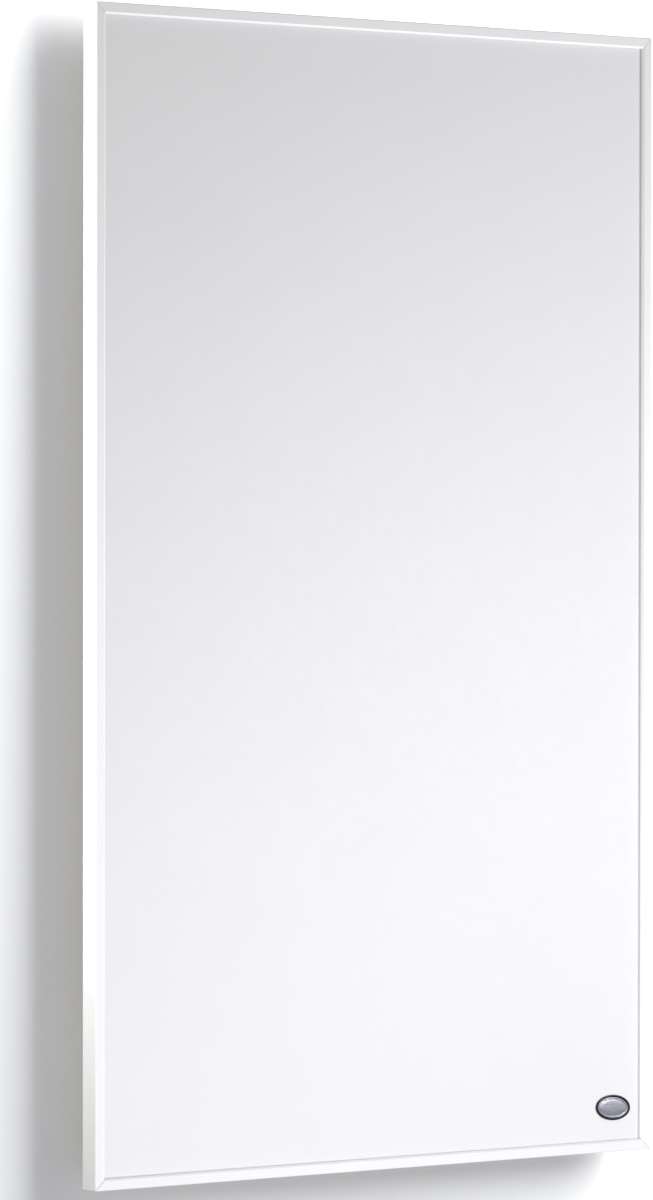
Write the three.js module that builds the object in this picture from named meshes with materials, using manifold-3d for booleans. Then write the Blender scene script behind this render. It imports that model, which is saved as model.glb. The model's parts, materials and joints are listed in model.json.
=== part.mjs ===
// Infrared panel heater, wall hung, portrait format.
// Millimetres, +Z up. The wall is the plane y = 0 and the heater stands off it
// towards -Y, so its radiating face looks along -Y. The origin is the centre of
// the four wall fixings, on the wall.
import * as THREE from 'three';
import { mergeVertices } from 'three/addons/utils/BufferGeometryUtils.js';
import Module from 'manifold-3d';

const wasm = await Module();
wasm.setup();

// ---------------------------------------------------------------- dimensions
const W = 600;             // overall width of the panel
const H = 1000;            // overall height of the panel
const D = 20;              // depth of the frame profile
const STANDOFF = 25;       // clear depth between wall and frame
const Y_FRONT = -(STANDOFF + D);   // front face of the frame
const GAP = 0.3;           // clearance kept between touching pieces
const MITRE_GAP = 0.2;     // per end and side, measured along the rail

// frame profile, u = inwards from the outer side, v = back from the front face
const LIP = 10;            // visible width of the front lip
const LIP_DEPTH = 3.0;     // depth of the lip over the plate
const BOX = 8;             // width of the hollow box section
const WALL = 1.5;          // wall of the extrusion
const REAR_LIP = 12;       // reach of the rear lip
const R_OUT = 1.0;         // outer front edge radius
const CHAMFER = 1.6;       // inner front edge, at 45 degrees
const R_BACK = 1.0;        // outer rear edge radius

// layers held in the frame groove, depth v of front and back of each
const SEAL = [3.3, 3.9];
const PLATE = [4.2, 5.4];
const LAMINATE = [5.7, 7.2];
const BUSBAR = [7.5, 7.9];
const FOIL = [8.2, 8.4];
const BOARD = [8.7, 17.3];
const COVER = [17.6, 18.2];
const PLATE_EDGE = 8.3;    // distance of plate and cover edges from the outside
const BOARD_EDGE = 9.0;
const LAMINATE_EDGE = 20;
const BUSBAR_X = 265;
const BUSBAR_W = 12;
const BUSBAR_L = 940;

// wall fixings
const FIX_X = 225;         // half the horizontal pitch
const FIX_Z = 375;         // half the vertical pitch
const SHANK_R = 2.5;
const HEAD_R = 4.7;
const LIFT = 12;           // lift that frees the panel from its fixings
const HANGER_BACK = -18.6; // back face of the raised hanger plate
const HANGER_T = 1.2;

// connection box
const JZ = -300;           // height of its centre
const JB_W = 112, JB_H = 66, JB_WALL = 2;
const JB_FRONT = -26.5, JB_BACK = -8.4;
const GLAND_Y = -16.7;
const LEAD_R = 1.1;
const ENTRY_Z = JZ + 18;   // lead hole through the cover

// badge
const BADGE = { x: 259.8, z: -460.6, w: 39.0, h: 22.7, t: 1.0, turn: -4 };

// ---------------------------------------------------------------- materials
const mat = (color, roughness, metalness) => new THREE.MeshStandardMaterial({ color, roughness, metalness });
const WHITE = mat(0xf2f3f5, 0.42, 0.0);
const WHITE_PLATE = mat(0xeff0f4, 0.55, 0.0);
const ZINC = mat(0xb9bec2, 0.38, 0.9);
const STEEL = mat(0xa9adb1, 0.32, 1.0);
const ALU = mat(0xc9cccf, 0.45, 0.95);
const FOILM = mat(0xd9dcde, 0.22, 1.0);
const COPPER = mat(0xb8683a, 0.35, 1.0);
const LAMM = mat(0x2a2b2c, 0.6, 0.0);
const WOOL = mat(0xd8cfa8, 0.95, 0.0);
const PLASTIC_WHITE = mat(0xe6e6e3, 0.5, 0.0);
const PLASTIC_GREY = mat(0x9a9ea1, 0.5, 0.0);
const RUBBER = mat(0x2b2c2e, 0.75, 0.0);
const SEALM = mat(0x7d7f82, 0.7, 0.0);
const CERAMIC = mat(0xded8c8, 0.55, 0.0);
const BADGEM = mat(0x9fa1ab, 0.3, 0.6);
const LIVE = mat(0x6b3b22, 0.5, 0.0);
const NEUTRAL = mat(0x2b5fa8, 0.5, 0.0);
const EARTH = mat(0x7ea33a, 0.5, 0.0);

// ---------------------------------------------------------------- helpers
function clean(geometry) {
  let g = geometry.clone();
  for (const k of Object.keys(g.attributes)) if (k !== 'position') g.deleteAttribute(k);
  if (!g.index) {
    const n = g.attributes.position.count;
    g.setIndex([...Array(n).keys()]);
  }
  g = mergeVertices(g, 1e-4);
  const p = g.attributes.position.array;
  const idx = g.index.array;
  const out = [];
  let vol = 0;
  for (let i = 0; i < idx.length; i += 3) {
    const [a, b, c] = [idx[i], idx[i + 1], idx[i + 2]];
    if (a === b || b === c || a === c) continue;
    out.push(a, b, c);
    const A = 3 * a, B = 3 * b, C = 3 * c;
    vol += p[A] * (p[B + 1] * p[C + 2] - p[B + 2] * p[C + 1])
         - p[A + 1] * (p[B] * p[C + 2] - p[B + 2] * p[C])
         + p[A + 2] * (p[B] * p[C + 1] - p[B + 1] * p[C]);
  }
  if (vol < 0) for (let i = 0; i < out.length; i += 3) [out[i + 1], out[i + 2]] = [out[i + 2], out[i + 1]];
  const r = new THREE.BufferGeometry();
  r.setAttribute('position', new THREE.BufferAttribute(new Float32Array(p), 3));
  r.setIndex(out);
  return r;
}

function toSolid(geometry) {
  const g = clean(geometry);
  return new wasm.Manifold(new wasm.Mesh({
    numProp: 3,
    vertProperties: new Float32Array(g.attributes.position.array),
    triVerts: new Uint32Array(g.index.array),
  }));
}

function fromSolid(solid) {
  const m = solid.getMesh();
  const n = m.numProp;
  const pos = new Float32Array((m.vertProperties.length / n) * 3);
  for (let i = 0, j = 0; i < m.vertProperties.length; i += n, j += 3) {
    pos[j] = m.vertProperties[i];
    pos[j + 1] = m.vertProperties[i + 1];
    pos[j + 2] = m.vertProperties[i + 2];
  }
  const r = new THREE.BufferGeometry();
  r.setAttribute('position', new THREE.BufferAttribute(pos, 3));
  r.setIndex([...m.triVerts]);
  return r;
}

const cut = (base, ...tools) => fromSolid(tools.reduce((s, t) => s.subtract(toSolid(t)), toSolid(base)));
const join = (base, ...more) => fromSolid(more.reduce((s, t) => s.add(toSolid(t)), toSolid(base)));

// outline in x and z, given thickness, back face at yBack
function slab(shape, yBack, thickness, curveSegments = 8) {
  const g = new THREE.ExtrudeGeometry(shape, { depth: thickness, bevelEnabled: false, curveSegments });
  g.rotateX(Math.PI / 2);
  g.translate(0, yBack, 0);
  return g;
}
const layer = (shape, [v0, v1], seg) => slab(shape, Y_FRONT + v1, v1 - v0, seg);

function rect(x0, z0, x1, z1, r = 0, Kind = THREE.Shape) {
  const s = new Kind();
  if (r <= 0) {
    s.moveTo(x0, z0); s.lineTo(x1, z0); s.lineTo(x1, z1); s.lineTo(x0, z1); s.closePath();
    return s;
  }
  s.moveTo(x0 + r, z0);
  s.lineTo(x1 - r, z0); s.absarc(x1 - r, z0 + r, r, -Math.PI / 2, 0, false);
  s.lineTo(x1, z1 - r); s.absarc(x1 - r, z1 - r, r, 0, Math.PI / 2, false);
  s.lineTo(x0 + r, z1); s.absarc(x0 + r, z1 - r, r, Math.PI / 2, Math.PI, false);
  s.lineTo(x0, z0 + r); s.absarc(x0 + r, z0 + r, r, Math.PI, 1.5 * Math.PI, false);
  return s;
}
function circle(x, z, r, Kind = THREE.Path) {
  const p = new Kind();
  p.absarc(x, z, r, 0, 2 * Math.PI, false);
  return p;
}
const cylY = (x, z, r, y0, y1, seg = 16) => {
  const g = new THREE.CylinderGeometry(r, r, Math.abs(y1 - y0), seg);
  g.translate(x, (y0 + y1) / 2, z);
  return g;
};
const block = (x0, y0, z0, x1, y1, z1) => {
  const g = new THREE.BoxGeometry(Math.abs(x1 - x0), Math.abs(y1 - y0), Math.abs(z1 - z0));
  g.translate((x0 + x1) / 2, (y0 + y1) / 2, (z0 + z1) / 2);
  return g;
};
// turned piece about a line along Y through (x, z); profile of [radius, y]
function turnY(profile, x, z, seg = 16) {
  const g = new THREE.LatheGeometry(profile.map(([r, y]) => new THREE.Vector2(r, y)), seg);
  g.translate(x, 0, z);
  return g;
}
// turned piece about a line along Z through (x, y); profile of [radius, z]
function turnZ(profile, x, y, seg = 20) {
  const g = new THREE.LatheGeometry(profile.map(([r, z]) => new THREE.Vector2(r, z)), seg);
  g.rotateX(Math.PI / 2);
  g.translate(x, y, 0);
  return g;
}
function tube(points, r, steps, sides = 8) {
  const curve = new THREE.CatmullRomCurve3(points.map(p => new THREE.Vector3(...p)), false, 'centripetal');
  const s = new THREE.Shape();
  for (let i = 0; i < sides; i++) {
    const a = (i / sides) * 2 * Math.PI;
    if (i) s.lineTo(r * Math.cos(a), r * Math.sin(a)); else s.moveTo(r, 0);
  }
  s.closePath();
  return new THREE.ExtrudeGeometry(s, { steps, extrudePath: curve, bevelEnabled: false });
}

const heater = new THREE.Group();
const fixings = new THREE.Group();   // stays on the wall
const panel = new THREE.Group();     // lifts off the fixings
heater.add(fixings, panel);

function add(group, name, geometry, material) {
  const g = clean(geometry);
  g.computeVertexNormals();
  const m = new THREE.Mesh(g, material);
  m.name = name;
  group.add(m);
  return m;
}

const CORNERS = [['tl', -1, 1], ['tr', 1, 1], ['bl', -1, -1], ['br', 1, -1]];

// ---------------------------------------------------------------- frame rails
function railSection() {
  const s = new THREE.Shape();
  s.moveTo(R_OUT, 0);
  s.lineTo(LIP - CHAMFER, 0);
  s.lineTo(LIP, CHAMFER);
  s.lineTo(LIP, LIP_DEPTH);
  s.lineTo(BOX, LIP_DEPTH);
  s.lineTo(BOX, D - WALL);
  s.lineTo(REAR_LIP, D - WALL);
  s.lineTo(REAR_LIP, D);
  s.lineTo(R_BACK, D);
  s.absarc(R_BACK, D - R_BACK, R_BACK, Math.PI / 2, Math.PI, false);
  s.lineTo(0, R_OUT);
  s.absarc(R_OUT, R_OUT, R_OUT, Math.PI, 1.5 * Math.PI, false);
  s.holes.push(rect(WALL, WALL, BOX - WALL, D - WALL, 0, THREE.Path));
  return s;
}
// a rail of the given outer length, both ends mitred at 45 degrees
function rail(length, place) {
  const g = new THREE.ExtrudeGeometry(railSection(), { depth: 1, bevelEnabled: false, curveSegments: 5 });
  const p = g.attributes.position;
  for (let i = 0; i < p.count; i++) {
    const u = p.getX(i), v = p.getY(i), t = p.getZ(i);
    const half = length / 2 - u - MITRE_GAP;
    const s = -half + 2 * half * t;
    p.setXYZ(i, ...place(s, u, Y_FRONT + v));
  }
  return g;
}
const SCREW_U = BOX / 2;             // corner screw, from the outer side
const SCREW_S = H / 2 - 26;          // and up the side rail
const screwHole = (sx, sz) => cylY(sx * (W / 2 - SCREW_U), sz * SCREW_S, 1.6, -STANDOFF + 1, -STANDOFF - 2.5, 12);

add(panel, 'frame_top', rail(W, (s, u, y) => [s, y, H / 2 - u]), WHITE);
add(panel, 'frame_bottom', rail(W, (s, u, y) => [s, y, -H / 2 + u]), WHITE);
add(panel, 'frame_left', cut(rail(H, (s, u, y) => [-W / 2 + u, y, s]), screwHole(-1, 1), screwHole(-1, -1)), WHITE);
add(panel, 'frame_right', cut(rail(H, (s, u, y) => [W / 2 - u, y, s]), screwHole(1, 1), screwHole(1, -1)), WHITE);

// corner keys inside the hollow rails, and the screws that hold them from behind
for (const [tag, sx, sz] of CORNERS) {
  const a = WALL + GAP, b = BOX - WALL - GAP, leg = 40;
  const X = u => sx * (W / 2 - u), Z = u => sz * (H / 2 - u);
  const s = new THREE.Shape();
  s.moveTo(X(a), Z(a));
  s.lineTo(X(leg), Z(a)); s.lineTo(X(leg), Z(b));
  s.lineTo(X(b), Z(b));
  s.lineTo(X(b), Z(leg)); s.lineTo(X(a), Z(leg));
  s.closePath();
  const body = slab(s, -STANDOFF - WALL - GAP, D - 2 * WALL - 2 * GAP);
  add(panel, `corner_key_${tag}`,
    cut(body, cylY(sx * (W / 2 - SCREW_U), sz * SCREW_S, 1.6, -STANDOFF, -STANDOFF - 14.5, 12)), ALU);
  const h = -STANDOFF + GAP;
  add(panel, `corner_screw_${tag}`, turnY([
    [0, h - 13.5], [1.25, h - 12], [1.25, h], [2.8, h], [2.8, h + 0.7], [2.0, h + 1.6], [0, h + 1.9],
  ], sx * (W / 2 - SCREW_U), sz * SCREW_S, 12), STEEL);
}

// ---------------------------------------------------------------- front plate and layers
const inset = (e, Kind = THREE.Shape, r = 0) => rect(-W / 2 + e, -H / 2 + e, W / 2 - e, H / 2 - e, r, Kind);

add(panel, 'front_plate', layer(inset(PLATE_EDGE), PLATE), WHITE_PLATE);

const seal = inset(BOX + GAP);
seal.holes.push(inset(LIP - GAP, THREE.Path));
add(panel, 'edge_seal', layer(seal, SEAL), SEALM);

add(panel, 'heating_laminate', layer(inset(LAMINATE_EDGE), LAMINATE), LAMM);
for (const [tag, sx] of [['left', -1], ['right', 1]]) {
  add(panel, `busbar_${tag}`,
    layer(rect(sx * BUSBAR_X - BUSBAR_W / 2, -BUSBAR_L / 2, sx * BUSBAR_X + BUSBAR_W / 2, BUSBAR_L / 2), BUSBAR), COPPER);
}

// pocket and channel for the leads and the cut-out, one outline in foil and board
const POCKET = { x: 46, z0: JZ - 27, z1: JZ + 27, ch: 6, end: BUSBAR_X + 8 };
function leadPath() {
  const p = new THREE.Path(), q = POCKET;
  p.moveTo(-q.end, JZ - q.ch);
  p.lineTo(-q.x, JZ - q.ch); p.lineTo(-q.x, q.z0); p.lineTo(q.x, q.z0); p.lineTo(q.x, JZ - q.ch);
  p.lineTo(q.end, JZ - q.ch); p.lineTo(q.end, JZ + q.ch);
  p.lineTo(q.x, JZ + q.ch); p.lineTo(q.x, q.z1); p.lineTo(-q.x, q.z1); p.lineTo(-q.x, JZ + q.ch);
  p.lineTo(-q.end, JZ + q.ch);
  p.closePath();
  return p;
}
const RIVET_DX = 19;                 // rivets either side of a hanger's centre
const rivetSpots = CORNERS.flatMap(([tag, sx, sz]) =>
  [['a', -1], ['b', 1]].map(([k, d]) => [`${tag}_${k}`, sx * FIX_X + d * RIVET_DX, sz * FIX_Z - 4]));

const foil = inset(BOARD_EDGE); foil.holes.push(leadPath());
add(panel, 'reflective_foil', layer(foil, FOIL), FOILM);
const board = inset(BOARD_EDGE); board.holes.push(leadPath());
for (const [, x, z] of rivetSpots) board.holes.push(circle(x, z, 5));
add(panel, 'insulation_board', layer(board, BOARD, 5), WOOL);

// ---------------------------------------------------------------- rear cover
const BOX_SCREWS = [['left', -36, JZ - 18], ['right', 36, JZ - 18]];
const EARTH_X = -32, EARTH_Z = JZ + 16;
const cover = inset(PLATE_EDGE);
cover.holes.push(circle(0, ENTRY_Z, 7));
for (const [, x, z] of BOX_SCREWS) cover.holes.push(circle(x, z, 2.1));
cover.holes.push(circle(EARTH_X, EARTH_Z, 2.4));
for (const [, x, z] of rivetSpots) cover.holes.push(circle(x, z, 2.0));
add(panel, 'rear_cover', layer(cover, COVER, 6), ZINC);

// ---------------------------------------------------------------- hangers and rivets
const COVER_BACK = Y_FRONT + COVER[1];           // back face of the cover
const FLANGE_Y = COVER_BACK + GAP;               // front face of a hanger flange
const HG = { w: 52, crown: 26, h: 52 };
for (const [tag, sx, sz] of CORNERS) {
  const cx = sx * FIX_X, cz = sz * FIX_Z;
  // hat section drawn in x and y, extruded up
  const o = HG.crown / 2, t = HANGER_T, e = HG.w / 2;
  const s = new THREE.Shape();
  s.moveTo(-e, FLANGE_Y); s.lineTo(-o + t, FLANGE_Y); s.lineTo(-o + t, HANGER_BACK - t);
  s.lineTo(o - t, HANGER_BACK - t); s.lineTo(o - t, FLANGE_Y); s.lineTo(e, FLANGE_Y);
  s.lineTo(e, FLANGE_Y + t); s.lineTo(o, FLANGE_Y + t); s.lineTo(o, HANGER_BACK);
  s.lineTo(-o, HANGER_BACK); s.lineTo(-o, FLANGE_Y + t); s.lineTo(-e, FLANGE_Y + t);
  s.closePath();
  const hat = new THREE.ExtrudeGeometry(s, { depth: HG.h, bevelEnabled: false });
  hat.translate(cx, 0, cz - 4 - HG.h / 2);
  // keyhole: narrow slot that the shank hangs in, entry hole one lift below
  const slotR = SHANK_R + 0.5, top = cz + SHANK_R + GAP - slotR, low = cz - LIFT, R = HEAD_R + 0.8;
  const k = new THREE.Shape();
  const a = Math.asin(slotR / R);
  k.moveTo(cx + slotR, top);
  k.absarc(cx, top, slotR, 0, Math.PI, false);
  k.absarc(cx, low, R, Math.PI / 2 + a, 2.5 * Math.PI - a, false);
  k.closePath();
  const key = slab(k, HANGER_BACK + 1, 4, 9);
  const holes = [-1, 1].map(d => cylY(cx + d * RIVET_DX, cz - 4, 2.0, FLANGE_Y - 1, FLANGE_Y + 3, 14));
  add(panel, `hanger_${tag}`, cut(hat, key, ...holes), ZINC);
}
for (const [tag, x, z] of rivetSpots) {
  const h = FLANGE_Y + HANGER_T + GAP, in0 = Y_FRONT + COVER[0] - GAP;
  add(panel, `hanger_rivet_${tag}`, turnY([
    [0, in0 - 3], [2.6, in0 - 2.3], [2.6, in0 - 0.8], [1.6, in0], [1.6, h], [3.2, h], [2.7, h + 0.8], [0, h + 1.2],
  ], x, z, 12), ALU);
}

// ---------------------------------------------------------------- connection box
{
  const x = JB_W / 2, z0 = JZ - JB_H / 2, z1 = JZ + JB_H / 2, w = JB_WALL;
  const outer = slab(rect(-x, z0, x, z1, 6), JB_BACK, JB_BACK - JB_FRONT, 5);
  const inner = slab(rect(-x + w, z0 + w, x - w, z1 - w, 4), JB_BACK + 1, JB_BACK + 1 - (JB_FRONT + w), 5);
  const shell = cut(outer, inner);
  const bosses = [-48, 48].map(bx => cylY(bx, JZ, 4, JB_FRONT + 1, JB_BACK, 16));
  const collar = cylY(0, ENTRY_Z, 6.5, JB_FRONT + 0.5, JB_FRONT - 1.9, 20);
  const full = join(shell, ...bosses, collar);
  const holes = [
    cylY(0, ENTRY_Z, 5.2, JB_FRONT + 4, JB_FRONT - 4, 20),
    ...[-48, 48].map(bx => cylY(bx, JZ, 1.6, JB_BACK - 13, JB_BACK + 2, 12)),
    ...BOX_SCREWS.map(([, bx, bz]) => cylY(bx, bz, 2.1, JB_FRONT - 1, JB_FRONT + 4, 12)),
    cylY(EARTH_X, EARTH_Z, 2.4, JB_FRONT - 1, JB_FRONT + 4, 14),
  ];
  const g = new THREE.CylinderGeometry(6.4, 6.4, 8, 20);
  g.rotateX(Math.PI / 2); g.translate(0, GLAND_Y, z0);
  add(panel, 'junction_box', cut(full, ...holes, g), PLASTIC_WHITE);

  const lid = slab(rect(-x, z0, x, z1, 6), JB_BACK + GAP + 2, 2, 5);
  const rim = slab(rect(-x + w + GAP, z0 + w + GAP, x - w - GAP, z1 - w - GAP, 3.6), JB_BACK + GAP + 0.5, 1.5, 5);
  const rimHole = slab(rect(-x + w + 1.6, z0 + w + 1.6, x - w - 1.6, z1 - w - 1.6, 2.4), JB_BACK + GAP, 3, 5);
  const rimRing = cut(rim, rimHole, ...[-48, 48].map(bx => cylY(bx, JZ, 4.3, JB_BACK - 4, JB_BACK + GAP, 16)));
  add(panel, 'junction_box_lid', cut(join(lid, rimRing),
    ...[-48, 48].map(bx => cylY(bx, JZ, 1.7, JB_BACK - 3, JB_BACK + 4, 12)),
    ...[-48, 48].map(bx => cylY(bx, JZ, 3.4, JB_BACK + GAP + 0.9, JB_BACK + 4, 16))), PLASTIC_WHITE);
  for (const [tag, bx] of [['left', -48], ['right', 48]]) {
    const h = JB_BACK + GAP + 0.9 + GAP;
    add(panel, `lid_screw_${tag}`, turnY([
      [0, h - 11.5], [1.25, h - 10], [1.25, h], [3.0, h], [3.0, h + 0.6], [2.2, h + 1.2], [0, h + 1.35],
    ], bx, JZ, 12), STEEL);
  }
  for (const [tag, bx, bz] of BOX_SCREWS) {
    const h = JB_FRONT + w + GAP;
    add(panel, `box_screw_${tag}`, turnY([
      [0, h - 10], [1.7, h - 8], [1.7, h], [3.4, h], [3.4, h + 0.9], [2.4, h + 1.8], [0, h + 2.1],
    ], bx, bz, 12), STEEL);
  }
}

// terminal block, three poles
{
  const b = block(-16, JB_FRONT + 2.3, JZ - 10, 16, -13.2, JZ + 4);
  const cuts = [];
  for (const px of [-10, 0, 10]) {
    cuts.push(cylY(px, JZ - 6.4, 2.0, -13, -17, 12), cylY(px, JZ + 0.4, 2.0, -13, -17, 12));
    const g = new THREE.CylinderGeometry(1.6, 1.6, 5, 12);
    g.rotateX(Math.PI / 2); g.translate(px, -20, JZ - 10);
    cuts.push(g);
  }
  for (const px of [-5, 5]) cuts.push(block(px - 0.6, -12, JZ - 11, px + 0.6, -18, JZ + 5));
  add(panel, 'terminal_block', cut(b, ...cuts), PLASTIC_GREY);
}

// thermal cut-out on the back of the laminate
const CUT_X = 26;
{
  const y0 = Y_FRONT + LAMINATE[1] + GAP;
  const body = turnY([[0, y0], [8, y0], [8, y0 + 2], [7, y0 + 2.4], [7, y0 + 6.2], [6.4, y0 + 6.8], [0, y0 + 6.8]], CUT_X, JZ, 24);
  const tabs = [-1, 1].map(d => block(CUT_X + d * 5, y0 + 4.0, JZ - 2.4, CUT_X + d * 13, y0 + 4.8, JZ + 2.4));
  add(panel, 'thermal_cutout', join(body, ...tabs), CERAMIC);
}

// leads, each whole along its route
{
  const yTab = Y_FRONT + LAMINATE[1] + GAP + 4.4;
  const yBus = Y_FRONT + BUSBAR[1] + GAP;
  const t0 = JZ + 4.3, zt = JZ + 2.4 + GAP;
  add(panel, 'lead_live', tube([
    [10, -20, t0], [9.6, -20, t0 + 4], [6, -20.4, t0 + 9], [3.2, -22.5, ENTRY_Z - 1], [3, -26, ENTRY_Z],
    [3.4, -29, ENTRY_Z - 0.6], [8, -32, ENTRY_Z - 4], [13.6, yTab + 0.4, JZ + 9], [15, yTab, zt + 3], [15, yTab, zt],
  ], LEAD_R, 24), LIVE);
  add(panel, 'lead_switched', tube([
    [37, yTab, zt], [37, yTab, zt + 1.8], [40, yTab, JZ + 4.6], [47, yTab, JZ + 2.5], [70, yTab, JZ], [160, yTab, JZ],
    [240, yTab, JZ], [259, yTab + 0.2, JZ], [264, yTab - 1.2, JZ], [265, yBus, JZ],
  ], LEAD_R, 32, 6), LIVE);
  add(panel, 'lead_neutral', tube([
    [0, -20, t0], [-0.6, -20, t0 + 4], [-2.4, -20.6, t0 + 9], [-3, -22.5, ENTRY_Z - 1], [-3, -26, ENTRY_Z],
    [-3.4, -29, ENTRY_Z - 0.6], [-8, -32, ENTRY_Z - 5], [-20, yTab, JZ + 6], [-47, yTab, JZ + 1.5], [-70, yTab, JZ],
    [-160, yTab, JZ], [-240, yTab, JZ], [-259, yTab + 0.2, JZ], [-264, yTab - 1.2, JZ], [-265, yBus, JZ],
  ], LEAD_R, 44, 6), NEUTRAL);
  const yLug = JB_FRONT + JB_WALL + GAP;      // front face of the ring lug
  const ring = cut(cylY(EARTH_X, EARTH_Z, 4.2, yLug, yLug + 0.8, 20), cylY(EARTH_X, EARTH_Z, 2.4, yLug - 1, yLug + 2, 14));
  const tail = block(EARTH_X + 3.4, yLug, EARTH_Z - 1.4, EARTH_X + 9, yLug + 0.8, EARTH_Z + 1.4);
  const wire = tube([
    [-10, -20, t0], [-10.4, -20, t0 + 3], [-13, -20.8, t0 + 7], [-18, -22.4, EARTH_Z - 1], [-22, -23.0, EARTH_Z],
    [-25.5, -23.1, EARTH_Z],
  ], LEAD_R, 18);
  add(panel, 'lead_earth', join(ring, tail, wire), EARTH);
  const h = yLug + 0.8 + GAP;
  add(panel, 'earth_screw', turnY([
    [0, h - 9.5], [2.0, h - 8.4], [2.0, h], [3.9, h], [3.9, h + 1.2], [2.8, h + 2.2], [0, h + 2.5],
  ], EARTH_X, EARTH_Z, 12), STEEL);
}

// cable gland under the box; its bore is where the supply cord enters
{
  const z0 = JZ - JB_H / 2;                    // outer face of the box wall
  const zi = z0 + JB_WALL;
  const hexR = 7.2 / Math.cos(Math.PI / 6);
  const hex = (za, zb, hole) => {
    const s = new THREE.Shape();
    for (let i = 0; i < 6; i++) {
      const a = (i / 6) * 2 * Math.PI;
      const q = [hexR * Math.cos(a), hexR * Math.sin(a)];
      if (i) s.lineTo(...q); else s.moveTo(...q);
    }
    s.closePath();
    s.holes.push(circle(0, 0, hole));
    const g = new THREE.ExtrudeGeometry(s, { depth: zb - za, bevelEnabled: false, curveSegments: 10 });
    g.translate(0, GLAND_Y, za);
    return g;
  };
  const sleeve = (ro, ri, za, zb) => turnZ([[ri, zb], [ro, zb], [ro, za], [ri, za], [ri, zb]], 0, GLAND_Y, 20);
  const bore = 4.0;
  add(panel, 'gland_body', join(
    sleeve(6.0, bore, z0 - 12.5, zi + 6), hex(z0 - GAP - 5, z0 - GAP, 5)), PLASTIC_GREY);
  add(panel, 'gland_locknut', hex(zi + GAP, zi + GAP + 3.6, 6.4), PLASTIC_GREY);
  const zc = z0 - GAP - 5 - GAP, ze = z0 - 20;
  add(panel, 'gland_cap', turnZ([
    [6.4, zc], [7.4, zc], [7.4, ze + 4], [6.8, ze + 1.4], [5.6, ze], [3.8, ze], [3.8, ze + 1.6], [6.4, ze + 1.6], [6.4, zc],
  ], 0, GLAND_Y, 20), PLASTIC_GREY);
  add(panel, 'gland_seal', sleeve(5.9, 3.6, ze + 1.6 + GAP, z0 - 12.5 - GAP), RUBBER);
}

// ---------------------------------------------------------------- badge
{
  const s = new THREE.Shape();
  s.absellipse(BADGE.x, BADGE.z, BADGE.w / 2, BADGE.h / 2, 0, 2 * Math.PI, false, BADGE.turn * Math.PI / 180);
  add(panel, 'badge_plate', slab(s, Y_FRONT + PLATE[0] - GAP, BADGE.t, 40), BADGEM);
}

// ---------------------------------------------------------------- wall fixings
for (const [tag, sx, sz] of CORNERS) {
  const x = sx * FIX_X, z = sz * FIX_Z;
  const front = HANGER_BACK + GAP;             // sleeve ends just behind the hanger
  const b = SHANK_R + GAP;
  add(fixings, `standoff_${tag}`, turnY([
    [b, 0], [12, 0], [12, -2], [8, -3.2], [8, front + 0.6], [7.4, front], [b, front], [b, 0],
  ], x, z, 20), PLASTIC_WHITE);
  const h = HANGER_BACK - HANGER_T - GAP;      // back of the head, in the hanger
  add(fixings, `wall_screw_${tag}`, turnY([
    [0, h - 2.2], [2.6, h - 2.0], [HEAD_R - 0.5, h - 1.2], [HEAD_R, h - 0.5], [HEAD_R, h], [SHANK_R, h], [SHANK_R, -GAP], [0, -GAP],
  ], x, z, 16), STEEL);
}

export default heater;
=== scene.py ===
import json
import math

import bmesh
import bpy
from mathutils import Matrix, Vector
from mathutils.geometry import tessellate_polygon

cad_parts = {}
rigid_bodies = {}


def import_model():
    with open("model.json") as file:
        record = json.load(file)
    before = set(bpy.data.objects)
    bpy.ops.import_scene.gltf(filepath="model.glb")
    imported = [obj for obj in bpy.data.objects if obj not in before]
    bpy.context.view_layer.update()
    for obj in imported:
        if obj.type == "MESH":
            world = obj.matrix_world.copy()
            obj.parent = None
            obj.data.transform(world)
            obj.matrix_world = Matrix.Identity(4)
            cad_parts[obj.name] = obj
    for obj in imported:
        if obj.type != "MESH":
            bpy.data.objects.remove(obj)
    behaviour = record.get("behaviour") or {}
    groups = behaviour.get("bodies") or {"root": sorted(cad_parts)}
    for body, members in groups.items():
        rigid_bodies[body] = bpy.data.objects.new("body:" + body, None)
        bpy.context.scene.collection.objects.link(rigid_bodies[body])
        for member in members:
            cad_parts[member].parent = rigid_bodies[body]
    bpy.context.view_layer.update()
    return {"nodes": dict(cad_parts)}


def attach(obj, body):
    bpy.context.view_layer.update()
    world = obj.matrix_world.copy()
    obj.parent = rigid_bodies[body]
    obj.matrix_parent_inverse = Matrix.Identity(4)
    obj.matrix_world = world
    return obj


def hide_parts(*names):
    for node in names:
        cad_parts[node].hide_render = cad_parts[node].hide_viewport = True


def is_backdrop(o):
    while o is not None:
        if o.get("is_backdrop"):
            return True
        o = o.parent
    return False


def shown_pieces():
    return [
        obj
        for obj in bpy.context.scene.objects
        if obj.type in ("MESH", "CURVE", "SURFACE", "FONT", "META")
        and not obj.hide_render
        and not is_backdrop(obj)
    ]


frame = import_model()
scene = bpy.context.scene
MM = 0.001

# ------------------------------------------------------------------ camera
# 1.2 m high view of a panel hung on a wall, seen from its left
CAM_AT = Vector((-3.0098, -4.1133, 0.0454))
YAW, PITCH, ROLL = (math.radians(a) for a in (35.9359, -0.5594, 0.0740))


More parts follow.
